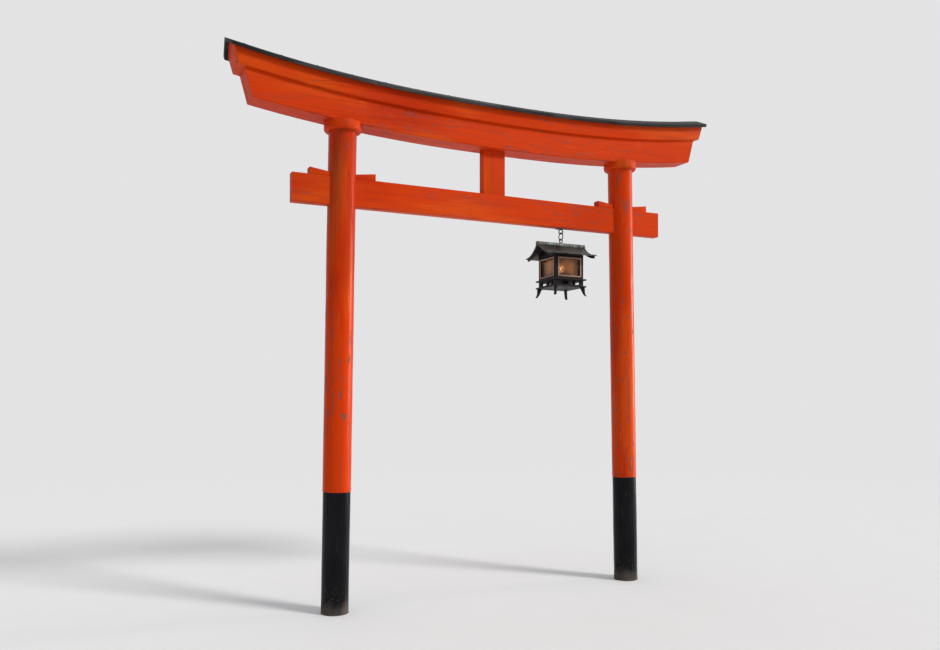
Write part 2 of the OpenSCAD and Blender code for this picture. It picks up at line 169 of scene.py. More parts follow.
class Finish:
    """A material with its shader, and the one method that adds a node to it."""

    def __init__(self, name):
        self.material = bpy.data.materials.new(name)
        self.material.use_nodes = True
        self.tree = self.material.node_tree
        self.shader = self.tree.nodes["Principled BSDF"]
        self.place = self.node("ShaderNodeTexCoord", out="Object")

    def node(self, kind, settings=None, inputs=None, out=0):
        """Adds a node with its settings, then the value or the link of each input."""
        made = self.tree.nodes.new(kind)
        for key, value in (settings or {}).items():
            setattr(made, key, value)
        for key, value in (inputs or {}).items():
            self.feed(made.inputs[key], value)
        return Value(self, made.outputs[out])

    def feed(self, socket, value):
        if isinstance(value, Value):
            self.tree.links.new(value.socket, socket)
        elif socket.type == "RGBA":
            socket.default_value = (*value, 1)
        else:
            socket.default_value = value

    def set(self, name, value):
        self.feed(self.shader.inputs[name], value)

    def vector(self, operation, *inputs, out="Vector"):
        return self.node("ShaderNodeVectorMath", {"operation": operation}, dict(enumerate(inputs)), out)

    def stretched(self, by, shift=(0, 0, 0)):
        """The place on the object, scaled along each axis and then shifted."""
        return self.vector("MULTIPLY_ADD", self.place, by, shift)

    def height(self):
        return self.node("ShaderNodeSeparateXYZ", None, {0: self.place}, "Z")

    def facing_x(self):
        """How squarely a face looks along the x axis, from 0 to 1."""
        normal = self.node("ShaderNodeNewGeometry", out="Normal")
        return abs(self.node("ShaderNodeSeparateXYZ", None, {0: normal}, "X"))

    def noise(self, by, shift=(0, 0, 0), detail=3.0, rough=0.5, bend=0.0):
        """Noise with so many waves to the metre along each axis."""
        inputs = {"Vector": self.stretched(by, shift), "Scale": 1.0}
        inputs |= {"Detail": detail, "Roughness": rough, "Distortion": bend}
        return self.node("ShaderNodeTexNoise", None, inputs, "Fac")

    def cell_edges(self, by, shift, bend):
        """The distance to the wandering edges of cells, from which cracks are made."""
        where = self.stretched(by, shift)
        wander = self.node("ShaderNodeTexNoise", None, {"Vector": where, "Scale": 0.6}, "Color")
        inputs = {"Vector": self.vector("MULTIPLY_ADD", wander, (bend,) * 3, where), "Scale": 1.0}
        return self.node("ShaderNodeTexVoronoi", {"feature": "DISTANCE_TO_EDGE"}, inputs, "Distance")

    def band(self, value, low, high, start=0.0, end=1.0):
        """A soft step, from start where the value is low to end where it is high."""
        inputs = {"Value": value, "From Min": low, "From Max": high, "To Min": start, "To Max": end}
        return self.node("ShaderNodeMapRange", {"interpolation_type": "SMOOTHSTEP"}, inputs)

    def spread(self, noise, start, end):
        """The usual range of a noise, turned into start to end."""
        return self.band(noise, 0.3, 0.7, start, end)

    def mix(self, share, first, second):
        inputs = {0: share, FIRST_COLOUR: first, SECOND_COLOUR: second}
        return self.node("ShaderNodeMix", {"data_type": "RGBA"}, inputs, BLEND)

    def bumps(self, *layers):
        """Bump nodes in a chain, each with its own height and its depth in metres."""
        normal = None
        for height, depth in layers:
            inputs = {"Strength": 1.0, "Distance": depth, "Height": height}
            if normal:
                inputs["Normal"] = normal
            normal = self.node("ShaderNodeBump", None, inputs)
        self.set("Normal", normal)

    def edge_band(self, width):
        """1 along sharp edges and 0 on open faces."""
        softened = self.node("ShaderNodeBevel", {"samples": 6}, {"Radius": width})
        plain = self.node("ShaderNodeNewGeometry", out="Normal")
        return self.band(1 - self.vector("DOT_PRODUCT", softened, plain, out="Value"), 0.02, 0.22)


# Colours of the posts, the beams and the black boards, in linear light
VERMILION = (0.630, 0.043, 0.002)
VERMILION_DEEP = (0.400, 0.014, 0.002)
VERMILION_PALE = (0.730, 0.098, 0.008)
VERMILION_SCRATCH = (0.72, 0.24, 0.12)
MAUVE_VEIL = (0.300, 0.050, 0.028)
WARM_SHEEN = (1.0, 0.58, 0.36)
SMUDGE_GREY = (0.125, 0.075, 0.068)
CRACK_BROWN = (0.075, 0.024, 0.016)
MOSS_BROWN = (0.080, 0.052, 0.020)
FOOT_BLACK = (0.004, 0.004, 0.006)
FOOT_FADED = (0.015, 0.016, 0.019)
FOOT_RUBBED = (0.060, 0.057, 0.058)
FOOT_DUST = (0.135, 0.112, 0.093)
BOARD_BLACK = (0.009, 0.009, 0.010)
BOARD_WORN = (0.055, 0.052, 0.050)
BOARD_GRAIN = (0.008, 0.007, 0.007)
BOARD_BARE = (0.125, 0.108, 0.094)
BOARD_EDGE = (0.14, 0.12, 0.105)
BOARD_CRACK = (0.004, 0.003, 0.003)
LICHEN = (0.105, 0.118, 0.088)

# Colours of the lantern and its hanger, in linear light
DARK_STAIN = (0.006, 0.004, 0.005)
DARK_STAIN_WORN = (0.026, 0.016, 0.016)
PEG_END = (0.075, 0.045, 0.034)
PALE_STAIN = (0.27, 0.165, 0.115)
PALE_STAIN_WORN = (0.47, 0.33, 0.245)
COPPER_DARK = (0.020, 0.017, 0.016)
COPPER_BROWN = (0.062, 0.043, 0.034)
COPPER_GREEN = (0.235, 0.345, 0.285)
IRON_DARK = (0.050, 0.046, 0.044)
IRON_RUST = (0.165, 0.062, 0.026)
AMBER_SMOKY = (0.120, 0.045, 0.021)
AMBER_CLEAR = (0.270, 0.118, 0.046)
AMBER_UNLIT = (0.004, 0.001, 0.0)
AMBER_PAINTED_GLOW = (0.21, 0.068, 0.012)
BULB_CLEAR = (0.86, 0.52, 0.26)
BULB_UPPER_DARK = (0.42, 0.22, 0.11)
BULB_LIT = (0.92, 0.40, 0.12)
BULB_DIM = (0.30, 0.10, 0.03)
CORE_AMBER = (0.9, 0.5, 0.2)
CORE_PALE = (1.0, 0.7, 0.4)
CORE_LIT = (1.0, 0.52, 0.20)
CORE_HOT = (1.0, 0.64, 0.30)
FITTING_BLACK = (0.018, 0.017, 0.017)
FITTING_DUST = (0.10, 0.085, 0.07)

# Heights in metres: where stains on the posts begin and are full, and the top of the feet's dust
STAIN_FROM = 1.9
STAIN_FULL = 2.7
DUST_TOP = 0.26


def run_scales(run, across, along):
    """Scales of a pattern that runs along the x or the z axis."""
    return (along, across, across) if run == "x" else (across, across, along)


def brushed_tone(f, streaks, brush, wear):
    """Broad changes of tone, then brushed streaks and a mauve veil."""
    drift = streaks(1.3, 0.8, detail=2.0)
    colour = f.mix(f.band(drift, 0.42, 0.68) * 0.6, VERMILION, VERMILION_DEEP)
    sun = streaks(5.0, 0.9, bend=0.3)
    colour = f.mix(f.band(sun, 0.50, 0.72) * 0.6, colour, VERMILION_PALE)
    colour = f.mix(f.band(brush, 0.50, 0.72) * 0.30, colour, VERMILION_DEEP)
    veil = f.band(streaks(30.0, 1.5, detail=4.0, rough=0.6), 0.52, 0.66)
    return f.mix(veil * 0.42 * wear, colour, MAUVE_VEIL)


def with_scuffs(f, streaks, colour, wear):
    """Adds grey scuffs in lanes along the grain and fine scratches, crowded in some places."""
    group = f.band(streaks(2.4, 1.3, detail=1.0), 0.40, 0.56)
    lane = f.band(streaks(26.0, 1.1, detail=2.0), 0.44, 0.56)
    mark = f.band(streaks(62.0, 12.0, bend=0.35), 0.54, 0.66)
    oval = f.band(streaks(24.0, 11.0, detail=2.0, bend=0.3), 0.655, 0.715)
    grey = (mark * lane * group).larger(oval * group) * wear
    colour = f.mix(grey * 0.78, colour, SMUDGE_GREY)
    scratch = f.band(streaks(170.0, 5.0), 0.66, 0.74) * group * wear
    return f.mix(scratch * 0.55, colour, VERMILION_SCRATCH), grey


def with_cracks(f, streaks, colour, run, shift):
    """Adds hairline drying cracks, and short checks in the end grain of level timbers."""
    split = f.cell_edges(run_scales(run, 15.0, 0.55), shift, bend=0.3)
    few = f.band(streaks(1.5, 0.8, detail=1.0), 0.54, 0.62)
    crack = (1 - f.band(split, 0.002, 0.012)) * few
    colour = f.mix(crack * 0.6, colour, CRACK_BROWN)
    if run == "x":
        ends = f.band(f.facing_x(), 0.80, 0.92)
        split_end = f.cell_edges((1, 24, 30), shift, bend=0.5)
        open_end = f.band(f.noise((3, 16, 16), shift, detail=2.0), 0.48, 0.60)
        crack = crack.larger((1 - f.band(split_end, 0.004, 0.030)) * open_end * ends)
        colour = f.mix(crack * ends * 0.7, colour, CRACK_BROWN)
    return colour, crack


def vermilion_paint(name, run, shift, wear, dulling=0.0):
    """Old glossy paint on a planed or turned timber whose grain runs along one axis."""
    f = Finish(name)

    def streaks(across, along, **more):
        return f.noise(run_scales(run, across, along), shift, **more)

    brush = streaks(95.0, 2.2, detail=4.0, rough=0.6)
    colour = brushed_tone(f, streaks, brush, wear)
    colour, grey = with_scuffs(f, streaks, colour, wear)
    colour, crack = with_cracks(f, streaks, colour, run, shift)

    # Paler edges, partly paint worn thin and partly a painted highlight along the arrises, and stains
    # high up on the upright timbers
    edge = f.edge_band(6 * MM) * f.band(streaks(30.0, 9.0, detail=4.0), 0.36, 0.62)
    colour = f.mix(edge * 0.65, colour, VERMILION_PALE)
    if run == "z":
        patchy = f.band(streaks(7.0, 0.9, detail=4.0, rough=0.6), 0.50, 0.66)
        stain = f.band(f.height(), STAIN_FROM, STAIN_FULL) * patchy
        colour = f.mix(stain * 0.38, colour, MOSS_BROWN)
    f.set("Base Color", colour)
    gloss = f.spread(brush, 0.27 + dulling, 0.40 + dulling)
    f.set("Roughness", gloss + grey * 0.2 + crack * 0.3)
    f.set("Specular IOR Level", 0.11)
    f.set("Specular Tint", WARM_SHEEN)
    waves = streaks(11.0, 1.8)
    peel = f.noise((240, 240, 240), shift, detail=2.0)
    f.bumps(
        (waves, 2.6 * MM), (brush, 0.45 * MM), (peel, 0.08 * MM),
        (1 - crack, 0.9 * MM), (1 - grey, 0.25 * MM),
    )
    return f.material


def foot_paint(name, shift):
    """Satin black paint on a post's foot, scuffed, and dusty low down."""
    f = Finish(name)
    fine = f.noise((95, 95, 2.2), shift, detail=4.0, rough=0.6)
    blotch = f.noise((5, 5, 2.2), shift, detail=4.0, rough=0.55)
    colour = f.mix(f.band(blotch, 0.40, 0.70) * 0.5, FOOT_BLACK, FOOT_FADED)
    rub = f.band(f.noise((38, 38, 7), shift, detail=5.0, rough=0.65), 0.60, 0.72)
    colour = f.mix(rub * 0.35, colour, FOOT_RUBBED)
    splash = f.band(f.noise((70, 70, 55), shift, detail=4.0, rough=0.7), 0.55, 0.68)
    low = 1 - f.band(f.height(), 0.0, DUST_TOP)
    rising = f.noise((14, 14, 5), shift, detail=4.0)
    dust = (splash * low).larger(f.band(low * 0.75 + rising * 0.6, 0.78, 1.12))
    f.set("Base Color", f.mix(dust * 0.62, colour, FOOT_DUST))
    f.set("Roughness", f.spread(fine, 0.22, 0.34) + rub * 0.12 + dust * 0.3)
    f.set("Specular IOR Level", 0.09)
    waves = f.noise((11, 11, 1.8), shift)
    f.bumps((waves, 2.4 * MM), (fine, 0.5 * MM), (dust, 0.6 * MM))
    return f.material


def weathered_black(name):
    """Black paint gone matt and grey on boards that lie in the rain."""
    f = Finish(name)
    grain = f.noise((2.4, 90, 90), detail=5.0, rough=0.65)
    worn = f.band(f.noise((1.5, 9, 9), detail=4.0, bend=0.4), 0.46, 0.66)
    colour = f.mix(worn * 0.75, BOARD_BLACK, BOARD_WORN)
    colour = f.mix(f.band(grain, 0.50, 0.72) * 0.6, colour, BOARD_GRAIN)
    bare = f.band(f.noise((3.2, 60, 60), (4.0, 9.0, 2.0), detail=4.0, rough=0.6), 0.60, 0.70) * worn
    colour = f.mix(bare * 0.55, colour, BOARD_BARE)
    lichen = f.band(f.noise((26, 26, 26), (8.0, 1.0, 5.0), detail=5.0, rough=0.7), 0.67, 0.75)
    colour = f.mix(lichen * 0.5, colour, LICHEN)
    edge = f.edge_band(5 * MM) * f.band(f.noise((12, 30, 30), detail=4.0), 0.42, 0.62)
    colour = f.mix(edge * 0.6, colour, BOARD_EDGE)
    split = f.cell_edges((0.8, 22, 22), (3.0, 5.0, 1.0), bend=0.3)
    crack = (1 - f.band(split, 0.002, 0.014)) * worn
    f.set("Base Color", f.mix(crack * 0.8, colour, BOARD_CRACK))
    f.set("Roughness", f.spread(grain, 0.50, 0.70))
    f.set("Specular IOR Level", 0.15)
    f.bumps((grain, 0.9 * MM), (f.noise((4, 18, 18)), 1.5 * MM), (1 - crack, 0.8 * MM))
    return f.material


def stained_timber(name, dark, light, upright):
    """Close-grained timber under an old dark or pale stain, its grain upright or level."""
    f = Finish(name)
    scales = (210, 210, 7) if upright else (7, 7, 210)
    grain = f.noise(scales, detail=5.0, rough=0.62)
    broad = f.noise(tuple(s * 0.16 for s in scales), bend=0.3)
    colour = f.mix(f.band(grain, 0.40, 0.68) * 0.65 + f.band(broad, 0.45, 0.7) * 0.3, dark, light)
    edge = f.edge_band(2.5 * MM) * f.band(f.noise((55, 55, 55), detail=4.0), 0.38, 0.62)
    bare = tuple(min(1.0, c * 2.4 + 0.02) for c in light)
    f.set("Base Color", f.mix(edge * 0.6, colour, bare))
    f.set("Roughness", f.spread(grain, 0.42, 0.60))
    f.set("Specular IOR Level", 0.14)
    f.bumps((grain, 0.35 * MM), (broad, 0.4 * MM))
    return f.material


def aged_copper(name, weathering):
    """Brown copper sheet, the greener the more weathering it has had."""
    f = Finish(name)
    cloud = f.noise((9, 9, 9), detail=5.0, rough=0.6)
    runs = f.noise((60, 14, 14), detail=4.0, rough=0.55, bend=0.4)
    colour = f.mix(f.band(cloud, 0.38, 0.66), COPPER_DARK, COPPER_BROWN)
    green = f.band(runs + weathering, 0.58, 0.74) * (0.45 + weathering)
    green = green.larger(f.edge_band(4 * MM) * f.band(cloud, 0.30, 0.55))
    f.set("Base Color", f.mix(green, colour, COPPER_GREEN))
    f.set("Metallic", 0.60 - green * 0.58)
    f.set("Roughness", f.spread(cloud, 0.34, 0.52) + green * 0.25)
    f.bumps((cloud, 0.8 * MM), (f.noise((160, 160, 160), detail=2.0), 0.15 * MM))
    return f.material


def dark_iron():
    """Forged iron, oiled dark, with rust where water sits."""
    f = Finish("dark_iron")
    hammer = f.noise((140, 140, 140), detail=2.0)
    rust = f.band(f.noise((48, 48, 48), detail=5.0, rough=0.7), 0.50, 0.66)
    f.set("Base Color", f.mix(rust * 0.75, IRON_DARK, IRON_RUST))
    f.set("Metallic", 0.85 - rust * 0.75)
    f.set("Roughness", f.spread(hammer, 0.34, 0.48) + rust * 0.3)
    f.bumps((hammer, 0.6 * MM), (rust, 0.2 * MM))
    return f.material


def amber_pane():
    """Amber glass, smoky in clouds, faintly rippled, with a painted glow where the lamp behind it would
    light it.
    """
    f = Finish("amber_pane")
    smoke = f.noise((14, 14, 14), rough=0.55)
    f.set("Base Color", f.mix(f.band(smoke, 0.35, 0.7), AMBER_SMOKY, AMBER_CLEAR))
    f.set("Alpha", f.band(smoke, 0.35, 0.7, 0.74, 0.58))
    pane_low, pane_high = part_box("front_pane")
    nearest = ((pane_low + pane_high) / 2 - bulb_middle).length
    # A painted glow, brightest near the bulb, stands for the lamp's light shining through the pane
    away = f.vector("DISTANCE", f.place, bulb_middle, out="Value")
    painted_glow = 1 - f.band(away, nearest * 0.96, nearest * 1.22)
    f.set("Emission Color", f.mix(painted_glow * (0.35 + smoke * 0.9), AMBER_UNLIT, AMBER_PAINTED_GLOW))
    f.set("Emission Strength", 1.0)
    f.set("Roughness", f.band(smoke, 0.35, 0.7, 0.07, 0.15))
    f.set("Specular IOR Level", 0.35)
    ripple = f.noise((30, 30, 22), detail=1.0, bend=0.4)
    f.bumps((ripple, 0.6 * MM))
    return f.material


def bulb_glass():
    """Frosted amber lamp glass, lit from inside, darker and with a dimmer glow above the core."""
    f = Finish("bulb_glass")
    frost = f.noise((90, 90, 90), detail=2.0)
    # Above the core the glass grows darker and glows less towards the top
    above_core = f.band(f.height(), bulb_low.z + CORE_HEIGHT, bulb_high.z)
    f.set("Base Color", f.mix(above_core, BULB_CLEAR, BULB_UPPER_DARK))
    f.set("Alpha", f.spread(frost, 0.58, 0.70))
    f.set("Emission Color", f.mix(above_core, BULB_LIT, BULB_DIM))
    f.set("Emission Strength", 2.6)
    f.set("Roughness", 0.22)
    return f.material


def lamp_glow():
    """The glowing core inside the lamp's glass."""
    f = Finish("lamp_glow")
    heat = f.noise((150, 150, 60), detail=2.0)
    f.set("Base Color", f.mix(heat, CORE_AMBER, CORE_PALE))
    f.set("Emission Color", f.mix(heat, CORE_LIT, CORE_HOT))
    f.set("Emission Strength", 14.0)
    return f.material


def black_fitting():
    """Matt black moulding of the lamp's socket."""
    f = Finish("black_fitting")
    speck = f.noise((300, 300, 300), detail=2.0)
    dust = f.band(f.noise((45, 45, 45), detail=4.0), 0.5, 0.7)
    f.set("Base Color", f.mix(dust * 0.4, FITTING_BLACK, FITTING_DUST))
    f.set("Roughness", f.spread(speck, 0.45, 0.60))
    f.bumps((speck, 0.1 * MM))
    return f.material


FINISHES = {
    "left_log": vermilion_paint("vermilion_left_log", "z", (3.1, 7.7, 1.9), wear=1.0),
    "right_log": vermilion_paint("vermilion_right_log", "z", (11.3, 2.2, 5.3), wear=1.0),
    "beams": vermilion_paint("vermilion_beams", "x", (5.0, 1.4, 8.8), wear=0.55, dulling=0.16),
    "strut": vermilion_paint("vermilion_strut", "z", (17.5, 4.1, 2.6), wear=0.55, dulling=0.16),
    "left_foot": foot_paint("black_left_foot", (2.7, 6.1, 3.3)),
    "right_foot": foot_paint("black_right_foot", (9.4, 1.8, 7.2)),
    "boards": weathered_black("weathered_black"),
    "frame_timber": stained_timber("dark_upright_timber", DARK_STAIN, DARK_STAIN_WORN, upright=True),
    "rail_timber": stained_timber("dark_level_timber", DARK_STAIN, DARK_STAIN_WORN, upright=False),
    "peg_timber": stained_timber("peg_end_timber", DARK_STAIN_WORN, PEG_END, upright=True),
    "upright_bead": stained_timber("pale_upright_bead", PALE_STAIN, PALE_STAIN_WORN, upright=True),
    "level_bead": stained_timber("pale_level_bead", PALE_STAIN, PALE_STAIN_WORN, upright=False),
    "copper": aged_copper("copper_sheet", weathering=0.0),
    "copper_edge": aged_copper("copper_edge", weathering=0.12),
    "iron": dark_iron(),
    "pane": amber_pane(),
    "bulb": bulb_glass(),
    "glow": lamp_glow(),
    "fitting": black_fitting(),
}


# Modelling helpers. An arris is an edge at which faces meet at more than a certain angle
MERGE_WITHIN = 0.01 * MM
FLAT_ANGLE = math.radians(0.4)
ARRIS_DEGREES = 28
SHORT_ARRIS = 3 * MM


def alone(obj):
    bpy.ops.object.select_all(action="DESELECT")
    obj.select_set(True)
    bpy.context.view_layer.objects.active = obj


@contextmanager
def editing(obj, kind="VERT", chosen=None):
    """Opens a mesh with the parts selected that chosen() accepts, or with all of it."""
    alone(obj)
    bpy.ops.object.mode_set(mode="EDIT")
    bpy.ops.mesh.select_mode(type=kind)
    bpy.ops.mesh.select_all(action="DESELECT" if chosen else "SELECT")
    if chosen:
        mesh = bmesh.from_edit_mesh(obj.data)
        for part in {"VERT": mesh.verts, "EDGE": mesh.edges, "FACE": mesh.faces}[kind]:
            part.select_set(bool(chosen(part)))
        bmesh.update_edit_mesh(obj.data)
    yield
    bpy.ops.object.mode_set(mode="OBJECT")


def modified(obj, kind, **settings):
    alone(obj)
    modifier = obj.modifiers.new(kind.lower(), kind)
    for key, value in settings.items():
        setattr(modifier, key, value)
    bpy.ops.object.modifier_apply(modifier=modifier.name)
    return obj


def settled(obj):
    """Moves an object's place, turn and size into its mesh."""
    alone(obj)
    bpy.ops.object.transform_apply(location=True, rotation=True, scale=True)
    return obj


def added(primitive, **settings):
    """A new primitive with its place and size in its mesh, ready to be shaped."""
    bpy.ops.object.select_all(action="DESELECT")
    primitive(**settings)
    return settled(bpy.context.object)


def smooth(obj, degrees=32):
    alone(obj)
    bpy.ops.object.shade_smooth_by_angle(angle=math.radians(degrees))
    return obj


def joined(name, parts):
    alone(parts[0])
    for part in parts:
        part.select_set(True)
    bpy.ops.object.join()
    parts[0].name = parts[0].data.name = name
    return parts[0]


def cut(obj, at, away, fill=True):
    """Removes what lies on the side of a plane that away points to."""
    with editing(obj):
        bpy.ops.mesh.bisect(plane_co=at, plane_no=away, use_fill=fill, clear_outer=True)


def extruded(by):
    """Extrudes the selected faces up or down."""
    bpy.ops.mesh.extrude_region_move(TRANSFORM_OT_translate={"value": (0, 0, by)})


def rounded(obj, width, segments=2, least=ARRIS_DEGREES):
    """Rounds the edges at which faces meet at more than the least angle, in degrees."""
    return modified(
        obj, "BEVEL", width=width, segments=segments, limit_method="ANGLE",
        angle_limit=math.radians(least), use_clamp_overlap=True,
    )


def solid_copy(name, node):
    """A merged copy of a solid, free of the triangles on its flat faces."""
    obj = bpy.data.objects.new(name, nodes[node].data.copy())
    bpy.context.scene.collection.objects.link(obj)
    alone(obj)
    bpy.ops.mesh.customdata_custom_splitnormals_clear()
    with editing(obj):
        bpy.ops.mesh.remove_doubles(threshold=MERGE_WITHIN)
        bpy.ops.mesh.dissolve_limited(angle_limit=FLAT_ANGLE)
    return obj


def bar(low, high, rounding, segments=2):
    """A squared bar between two corners, with rounded edges."""
    low, high = Vector(low), Vector(high)
    block = added(bpy.ops.mesh.primitive_cube_add, size=1, location=(low + high) / 2, scale=high - low)
    return rounded(block, rounding, segments)


def coated(obj, finish):
    obj.data.materials.clear()
    obj.data.materials.append(FINISHES[finish])


def dressed(obj, body, slot, finish, *replaced):
    """Gives a piece its finish, its body and the solids that it stands for."""
    coated(obj, finish)
    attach(obj, body)
    if replaced:
        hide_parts(*replaced)


def eased(name, node, body, slot, finish, width, segments=2):
    """A solid's own shape with its edges rounded, as planing and wear leave them."""
    obj = smooth(rounded(solid_copy(name, node), width, segments))
    dressed(obj, body, slot, finish, node)


def is_arris(edge):
    return len(edge.link_faces) == 2 and edge.calc_face_angle() > math.radians(ARRIS_DEGREES)


def is_long_arris(edge):
    """An arris that meets no short one, such as those round a hole or an opening."""
    met = [other for v in edge.verts for other in v.link_edges if is_arris(other)]
    return is_arris(edge) and all(other.calc_length() > SHORT_ARRIS for other in met)


def eased_outside(name, node, body, slot, finish, width, seats=()):
    """As eased, but the edges of holes stay sharp, and so do those within the seats' spans of x."""
    obj = solid_copy(name, node)

    def is_outside(edge):
        middle = (edge.verts[0].co.x + edge.verts[1].co.x) / 2
        return is_long_arris(edge) and not any(low < middle < high for low, high in seats)

    for x in [end for span in seats for end in span]:
        with editing(obj):
            bpy.ops.mesh.bisect(plane_co=(x, 0, 0), plane_no=(1, 0, 0))
    with editing(obj, "EDGE", is_outside):
        bpy.ops.mesh.bevel(offset=width, segments=3, affect="EDGES", clamp_overlap=True)
    smooth(obj)
    modified(obj, "WEIGHTED_NORMAL", keep_sharp=True)
    dressed(obj, body, slot, finish, node)


# Posts: rounds with a side every 5 mm and a ring of edges every 14 mm
ROUND_SIDES = 112
RING_STEP = 14 * MM

# How upright a level face's normal is, and how near to its radius a round's side lies
LEVEL = 0.99
ON_SIDE = 0.985

# Extra length of a post and of its shank that is cut off level once it leans
SPARE = 40 * MM
SHANK_SPARE = 20 * MM

# The gap round the log's shank in its black foot, and the rounding of edges there and at the slot
SHANK_GAP = 0.4 * MM
LOG_FOOT_EASE = 4 * MM
WRAP_EASE = 1.5 * MM
SLOT_EASE = 0.2 * MM

# Swells of the logs
WAVE_DEPTH = 3.2 * MM
log_waves = bpy.data.textures.new("log_waves", "CLOUDS")
log_waves.noise_scale = 0.42
log_waves.noise_depth = 1

# Dents: radius and depth in millimetres, how much longer than wide, and how many
DENT_RADIUS = (9, 22)
DENT_STRETCH = (1.6, 3.4)
DENT_DEPTH = (0.5, 1.5)
DENTS_IN_LOG = 34
DENTS_IN_FOOT = 12

# How far a dent reaches: along the log in radii, and in all directions in squared radii
DENT_SPAN = 2
DENT_FADE = 6


def upright_round(name, radius, low, high):
    """An upright cylinder about the z axis with rings of edges up its side."""
    obj = added(
        bpy.ops.mesh.primitive_cylinder_add,
        vertices=ROUND_SIDES, radius=radius, depth=high - low, location=(0, 0, (low + high) / 2),
    )
    obj.name = obj.data.name = name
    with editing(obj, "EDGE", lambda e: abs(e.verts[0].co.z - e.verts[1].co.z) > RING_STEP):
        bpy.ops.mesh.subdivide(number_cuts=int((high - low) / RING_STEP))
    return obj


def is_at_wrap_top(edge):
    return all(abs(v.co.z - WRAP_H) < MM for v in edge.verts)


def lean_in(obj, side):
    """Stands a round on its post's foot and leans it towards the gate's middle."""
    obj.location = (middle_x + side * half_pitch, 0, 0)
    obj.rotation_euler = (0, -side * LEAN, 0)
    settled(obj)


def axis_x(side, z):
    """Where a leaning post's axis is at a height."""
    return middle_x + side * (half_pitch - z * math.tan(LEAN))


def waved(obj, side, radius):
    """Gives a round's side the shallow swells of a hand-finished log, inwards only."""
    outside = obj.vertex_groups.new(name="outside")
    for v in obj.data.vertices:
        if math.hypot(v.co.x - axis_x(side, v.co.z), v.co.y) > radius * ON_SIDE:
            outside.add([v.index], 1.0, "REPLACE")
    modified(
        obj, "DISPLACE", texture=log_waves, texture_coords="LOCAL", strength=WAVE_DEPTH,
        mid_level=1.0, vertex_group="outside",
    )
    obj.vertex_groups.clear()


def dented(obj, side, seed, count, low, high):
    """Presses shallow long dents and knots into a round."""
    draw = random.Random(seed)
    dents = [
        (
            draw.uniform(low, high), draw.uniform(0, math.tau), draw.uniform(*DENT_RADIUS) * MM,
            draw.uniform(*DENT_STRETCH), draw.uniform(*DENT_DEPTH) * MM,
        )
        for _ in range(count)
    ]
    for v in obj.data.vertices:
        away = Vector((v.co.x - axis_x(side, v.co.z), v.co.y, 0))
        if away.length < LOG_R * 0.9:
            continue
        turn = math.atan2(away.y, away.x)
        for z, angle, size, longer, depth in dents:
            rise = (v.co.z - z) / longer
            if abs(rise) > size * DENT_SPAN:
                continue
            aside = ((turn - angle + math.pi) % math.tau - math.pi) * away.length
            reach = (rise * rise + aside * aside) / (size * size)
            if reach < DENT_FADE:
                v.co -= away.normalized() * depth * math.exp(-reach)


def slotted(log, side):
    """Cuts the slot for the tie beam and its wedges through a log."""
    middle = axis_x(side, beam_high.z)
    half = (beam_high.y - beam_low.y) / 2
    cutter = bar(
        (middle - LOG_R * 2, -half, beam_low.z),
        (middle + LOG_R * 2, half, beam_high.z + WEDGE_GAP), SLOT_EASE, segments=1,
    )
    modified(log, "BOOLEAN", object=cutter, operation="DIFFERENCE", solver="EXACT")
    bpy.data.objects.remove(cutter)


def add_log(side, name, node, finish, seed):
    """A post above its black foot, with the shank inside the foot and the tenon on top."""
    top = ring_low.z
    log = upright_round(name, LOG_R, WRAP_H, top + SPARE)
    with editing(log, "EDGE", is_at_wrap_top):
        bpy.ops.mesh.bevel(offset=LOG_FOOT_EASE, segments=4, affect="EDGES")
    with editing(log, "FACE", lambda f: f.normal.z < -LEVEL and len(f.verts) > 8):
        bpy.ops.mesh.inset(thickness=LOG_R - LOG_FOOT_EASE - (WRAP_R - WRAP_T) + SHANK_GAP)
        extruded(-WRAP_H - SHANK_SPARE)
    lean_in(log, side)
    cut(log, (0, 0, 0), (0, 0, -1))
    cut(log, (0, 0, top), (0, 0, 1))
    with editing(log, "FACE", lambda f: f.normal.z > LEVEL and f.calc_center_median().z > top - MM):
        bpy.ops.mesh.inset(thickness=LOG_R - TENON_R)
        extruded(ring_high.z - ring_low.z + TENON_H)
    waved(log, side, LOG_R)
    dented(log, side, seed, DENTS_IN_LOG, WRAP_H + 30 * MM, top - 100 * MM)
    slotted(log, side)
    dressed(smooth(log), "gate", "vermilion_timber", finish, node)


def add_foot(side, name, node, finish, seed):
    """The black sleeve round a post's shank, open at both ends."""
    foot = upright_round(name, WRAP_R, -SPARE, WRAP_H)
    with editing(foot, "EDGE", is_at_wrap_top):
        bpy.ops.mesh.bevel(offset=WRAP_EASE, segments=3, affect="EDGES")
    with editing(foot, "FACE", lambda f: abs(f.normal.z) > LEVEL and len(f.verts) > 8):
        bpy.ops.mesh.inset(thickness=WRAP_T - WRAP_EASE, use_individual=True)
        bpy.ops.mesh.bridge_edge_loops()
    lean_in(foot, side)
    cut(foot, (0, 0, 0), (0, 0, -1), fill=False)
    with editing(foot, "EDGE", lambda e: e.is_boundary):
        bpy.ops.mesh.bridge_edge_loops()
    waved(foot, side, WRAP_R)
    dented(foot, side, seed, DENTS_IN_FOOT, 50 * MM, WRAP_H - 40 * MM)
    with editing(foot):
        bpy.ops.mesh.normals_make_consistent(inside=False)
    dressed(smooth(foot), "gate", "black_wrap", finish, node)


add_log(-1, "left_log", "left_post", "left_log", 41)
add_log(1, "right_log", "right_post", "right_log", 87)
add_foot(-1, "left_black_foot", "left_foot_wrap", "left_foot", 5)
add_foot(1, "right_black_foot", "right_foot_wrap", "right_foot", 9)


# Beams and lintels. The lower lintel stays sharp where it is let in over the rings
RING_CLEAR = 12 * MM
ring_boxes = [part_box("left_cap_ring"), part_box("right_cap_ring")]
ring_seats = [(low.x - RING_CLEAR, high.x + RING_CLEAR) for low, high in ring_boxes]

